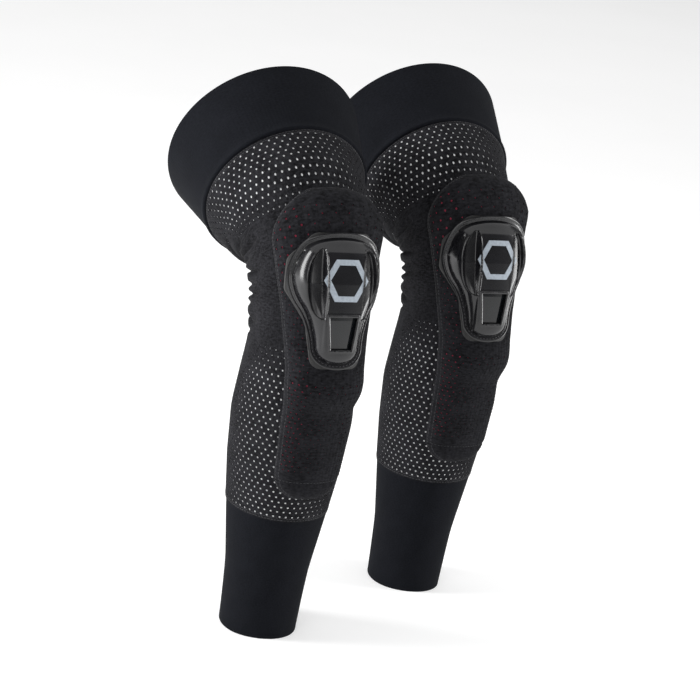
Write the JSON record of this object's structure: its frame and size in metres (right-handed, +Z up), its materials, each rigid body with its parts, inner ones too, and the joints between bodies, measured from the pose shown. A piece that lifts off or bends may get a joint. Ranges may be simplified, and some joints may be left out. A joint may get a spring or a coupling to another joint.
{
  "type": "knee guards",
  "caption": "Pair of knitted knee and shin guards, bent at the knee, each a leg sleeve with foam pads and a hard domed cap shell over the kneecap.",
  "frame": {"origin": "middle of the bottom of the pair's box, on the surface that the bottom rims stand on", "axes": "+X forward, the way the knee caps face; +Y to the wearer's left; +Z up the shin"},
  "size_m": [0.3016, 0.334, 0.4495],
  "materials": {
    "cuff_knit": "matte",
    "perforated_knit": "matte",
    "pale_lining": "matte",
    "stretch_knit": "matte",
    "red_foam": "matte",
    "pad_cover": "matte",
    "thread": "matte",
    "silicone": "satin",
    "cap_shell": "gloss",
    "cap_window": "gloss",
    "emblem_print": "satin",
    "backer_sheet": "matte"
  },
  "bodies": {
    "right_shin": {"right_lower_cuff": "cuff_knit", "right_lower_grip": "silicone", "right_lower_seam": "thread", "right_calf_mesh": "perforated_knit", "right_calf_liner": "pale_lining", "right_shin_foam": "red_foam", "right_shin_cover": "pad_cover", "right_shin_flex_panel": "stretch_knit", "right_lower_gather": "stretch_knit"},
    "right_knee": {"right_knee_band": "stretch_knit", "right_knee_foam": "red_foam", "right_knee_cover": "pad_cover", "right_cap_backer": "backer_sheet", "right_knee_cap": "cap_shell", "right_cap_insert": "cap_window", "right_cap_emblem": "emblem_print", "right_cap_stitching": "thread"},
    "right_thigh": {"right_thigh_mesh": "perforated_knit", "right_thigh_liner": "pale_lining", "right_thigh_flex_panel": "stretch_knit", "right_upper_gather": "stretch_knit", "right_upper_seam": "thread", "right_upper_cuff": "cuff_knit", "right_upper_grip": "silicone"},
    "left_shin": {"left_lower_cuff": "cuff_knit", "left_lower_grip": "silicone", "left_lower_seam": "thread", "left_calf_mesh": "perforated_knit", "left_calf_liner": "pale_lining", "left_shin_foam": "red_foam", "left_shin_cover": "pad_cover", "left_shin_flex_panel": "stretch_knit", "left_lower_gather": "stretch_knit"},
    "left_knee": {"left_knee_band": "stretch_knit", "left_knee_foam": "red_foam", "left_knee_cover": "pad_cover", "left_cap_backer": "backer_sheet", "left_knee_cap": "cap_shell", "left_cap_insert": "cap_window", "left_cap_emblem": "emblem_print", "left_cap_stitching": "thread"},
    "left_thigh": {"left_thigh_mesh": "perforated_knit", "left_thigh_liner": "pale_lining", "left_thigh_flex_panel": "stretch_knit", "left_upper_gather": "stretch_knit", "left_upper_seam": "thread", "left_upper_cuff": "cuff_knit", "left_upper_grip": "silicone"}
  },
  "joints": [
    {"name": "right_lower_fold", "type": "hinge", "parent": "right_shin", "child": "right_knee", "pos_m": [0.06926, -0.086, 0.25222], "axis": [0, -1, 0], "range_deg": [-16, 12], "stiffness_Nm_per_rad": 1.5, "springref_deg": 0.5, "deforming": ["right_shin_flex_panel", "right_lower_gather"]},
    {"name": "right_upper_fold", "type": "hinge", "parent": "right_knee", "child": "right_thigh", "pos_m": [0.05062, -0.086, 0.32177], "axis": [0, -1, 0], "range_deg": [-48, 36], "stiffness_Nm_per_rad": 0.8, "springref_deg": -1.72, "deforming": ["right_thigh_flex_panel", "right_upper_gather"]},
    {"name": "left_lower_fold", "type": "hinge", "parent": "left_shin", "child": "left_knee", "pos_m": [-0.00274, 0.086, 0.25222], "axis": [0, -1, 0], "range_deg": [-16, 12], "stiffness_Nm_per_rad": 1.5, "springref_deg": 0.5, "deforming": ["left_shin_flex_panel", "left_lower_gather"]},
    {"name": "left_upper_fold", "type": "hinge", "parent": "left_knee", "child": "left_thigh", "pos_m": [-0.02138, 0.086, 0.32177], "axis": [0, -1, 0], "range_deg": [-48, 36], "stiffness_Nm_per_rad": 0.8, "springref_deg": -1.72, "deforming": ["left_thigh_flex_panel", "left_upper_gather"]},
    {"name": "left_guard_apart", "type": "slide", "parent": "right_shin", "child": "left_shin", "axis": [0, 1, 0], "range_m": [0, 0.25]}
  ],
  "couplings": [
    {"joint": "right_lower_fold", "follows": "right_upper_fold", "ratio": 0.33333},
    {"joint": "left_lower_fold", "follows": "left_upper_fold", "ratio": 0.33333}
  ]
}
